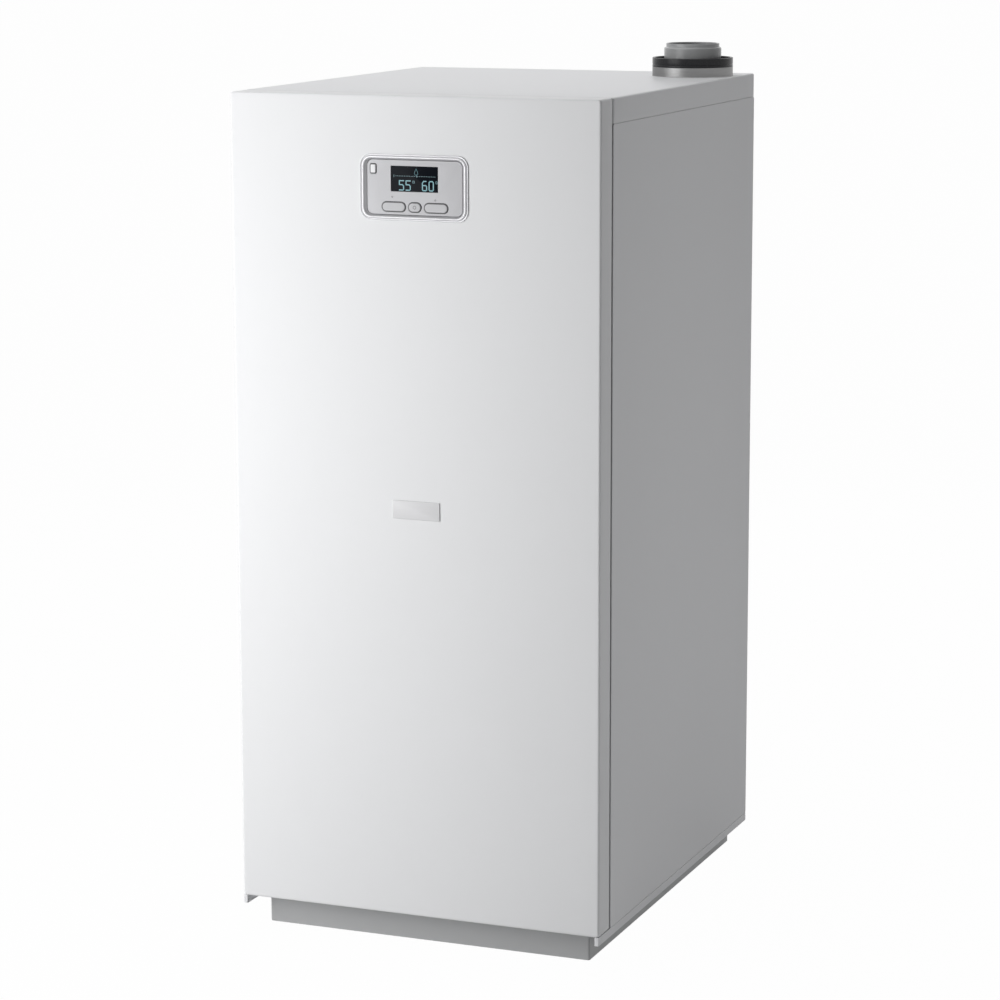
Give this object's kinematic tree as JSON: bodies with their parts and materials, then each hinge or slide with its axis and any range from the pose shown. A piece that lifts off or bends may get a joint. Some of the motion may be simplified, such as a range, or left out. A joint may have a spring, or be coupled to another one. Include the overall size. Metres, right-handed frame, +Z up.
{
  "type": "floor standing gas boiler",
  "caption": "Floor standing condensing gas boiler in a white sheet casing, with control panel, flue socket and heat exchanger inside.",
  "frame": {"origin": "middle of the overall box at floor level, under the plinth and feet", "axes": "+Z up; the front with the control panel faces -Y; +X is the right-hand side seen from the front"},
  "size_m": [0.57, 0.7026, 1.305],
  "materials": {
    "white_coat": "satin powder coat",
    "plinth_paint": "dark semi-matt paint",
    "galvanised": "galvanised sheet",
    "silver_plastic": "silver lacquer",
    "key_plastic": "light semi-matt",
    "black_plastic": "semi-matt black",
    "flue_plastic": "light grey polypropylene",
    "display_glass": "dark glossy window",
    "circuit_board": "green board lacquer",
    "rubber": "matt black",
    "stainless": "bare stainless",
    "cast_aluminium": "as cast",
    "brass": "bare",
    "foam": "grey soft insulation",
    "gasket": "white fibre",
    "ceramic": "glazed white ceramic",
    "gas_yellow": "yellow paint",
    "lever_red": "red dip coating"
  },
  "bodies": {
    "boiler": {"air_intake_hose": "black_plastic", "air_ring": "black_plastic", "air_vent": "brass", "base_pan": "galvanised", "bottom_front_rail": "galvanised", "burner_door": "cast_aluminium", "burner_door_seal": "gasket", "burner_tube": "stainless", "combustion_chamber": "stainless", "condensate_hose": "rubber", "condensate_outlet": "flue_plastic", "condensate_sump": "black_plastic", "condensate_trap": "flue_plastic", "control_box": "black_plastic", "control_cover": "silver_plastic", "display_board": "circuit_board", "display_screen": "display_glass", "drain_valve_body": "brass", "fan_housing": "cast_aluminium", "fan_lead": "rubber", "fan_motor": "black_plastic", "flow_pipe": "brass", "flow_temperature_sensor": "black_plastic", "flue_collar": "stainless", "flue_elbow": "flue_plastic", "flue_pipe": "flue_plastic", "flue_socket": "flue_plastic", "flue_spacer": "galvanised", "gas_air_mixer": "cast_aluminium", "gas_pipe": "gas_yellow", "gas_valve": "brass", "ignition_electrode": "ceramic", "left_insulation_shell": "foam", "left_side_panel": "white_coat", "main_board": "circuit_board", "mains_gland": "black_plastic", "plinth": "plinth_paint", "rear_panel": "galvanised", "return_pipe": "brass", "right_insulation_shell": "foam", "right_side_panel": "white_coat", "smoke_tube_bundle": "stainless", "socket_lip_seal": "rubber", "top_cover": "white_coat", "top_front_rail": "galvanised", "vessel_shell": "stainless", "vessel_stand": "galvanised"},
    "front_panel": {"front_panel": "white_coat", "control_window_frame": "silver_plastic", "badge_plate": "silver_plastic"},
    "on_off_key": {"on_off_key": "key_plastic"},
    "mode_key": {"mode_key": "key_plastic"},
    "left_rocker_key": {"left_rocker_key": "key_plastic"},
    "right_rocker_key": {"right_rocker_key": "key_plastic"},
    "fan_impeller": {"fan_impeller": "black_plastic"},
    "drain_lever": {"drain_lever": "lever_red"},
    "front_left_foot": {"front_left_foot": "rubber"},
    "front_right_foot": {"front_right_foot": "rubber"},
    "rear_left_foot": {"rear_left_foot": "rubber"},
    "rear_right_foot": {"rear_right_foot": "rubber"}
  },
  "joints": [
    {"name": "front_panel_pull", "type": "slide", "parent": "boiler", "child": "front_panel", "axis": [0, -1, 0], "range_m": [0, 0.25]},
    {"name": "on_off_key_press", "type": "slide", "parent": "boiler", "child": "on_off_key", "axis": [0, 1, 0], "range_m": [0, 0.0008], "stiffness_N_per_m": 1500},
    {"name": "mode_key_press", "type": "slide", "parent": "boiler", "child": "mode_key", "axis": [0, 1, 0], "range_m": [0, 0.0008], "stiffness_N_per_m": 1500},
    {"name": "left_rocker_key_rock", "type": "hinge", "parent": "boiler", "child": "left_rocker_key", "pos_m": [-0.0289, -0.3441, 1.0973], "axis": [0, 0, 1], "range_deg": [-3, 3], "stiffness_Nm_per_rad": 0.4},
    {"name": "right_rocker_key_rock", "type": "hinge", "parent": "boiler", "child": "right_rocker_key", "pos_m": [0.0363, -0.3441, 1.097], "axis": [0, 0, 1], "range_deg": [-3, 3], "stiffness_Nm_per_rad": 0.4},
    {"name": "fan_impeller_spin", "type": "hinge", "parent": "boiler", "child": "fan_impeller", "pos_m": [0.027, 0.03, 0.9769], "axis": [0, 1, 0], "continuous": true},
    {"name": "drain_lever_turn", "type": "hinge", "parent": "boiler", "child": "drain_lever", "pos_m": [-0.04, -0.22, 0.2688], "axis": [0, 0, 1], "range_deg": [0, 90]},
    {"name": "front_left_foot_height", "type": "slide", "parent": "boiler", "child": "front_left_foot", "axis": [0, 0, -1], "range_m": [0, 0.02]},
    {"name": "rear_left_foot_height", "type": "slide", "parent": "boiler", "child": "rear_left_foot", "axis": [0, 0, -1], "range_m": [0, 0.02]},
    {"name": "front_right_foot_height", "type": "slide", "parent": "boiler", "child": "front_right_foot", "axis": [0, 0, -1], "range_m": [0, 0.02]},
    {"name": "rear_right_foot_height", "type": "slide", "parent": "boiler", "child": "rear_right_foot", "axis": [0, 0, -1], "range_m": [0, 0.02]}
  ]
}
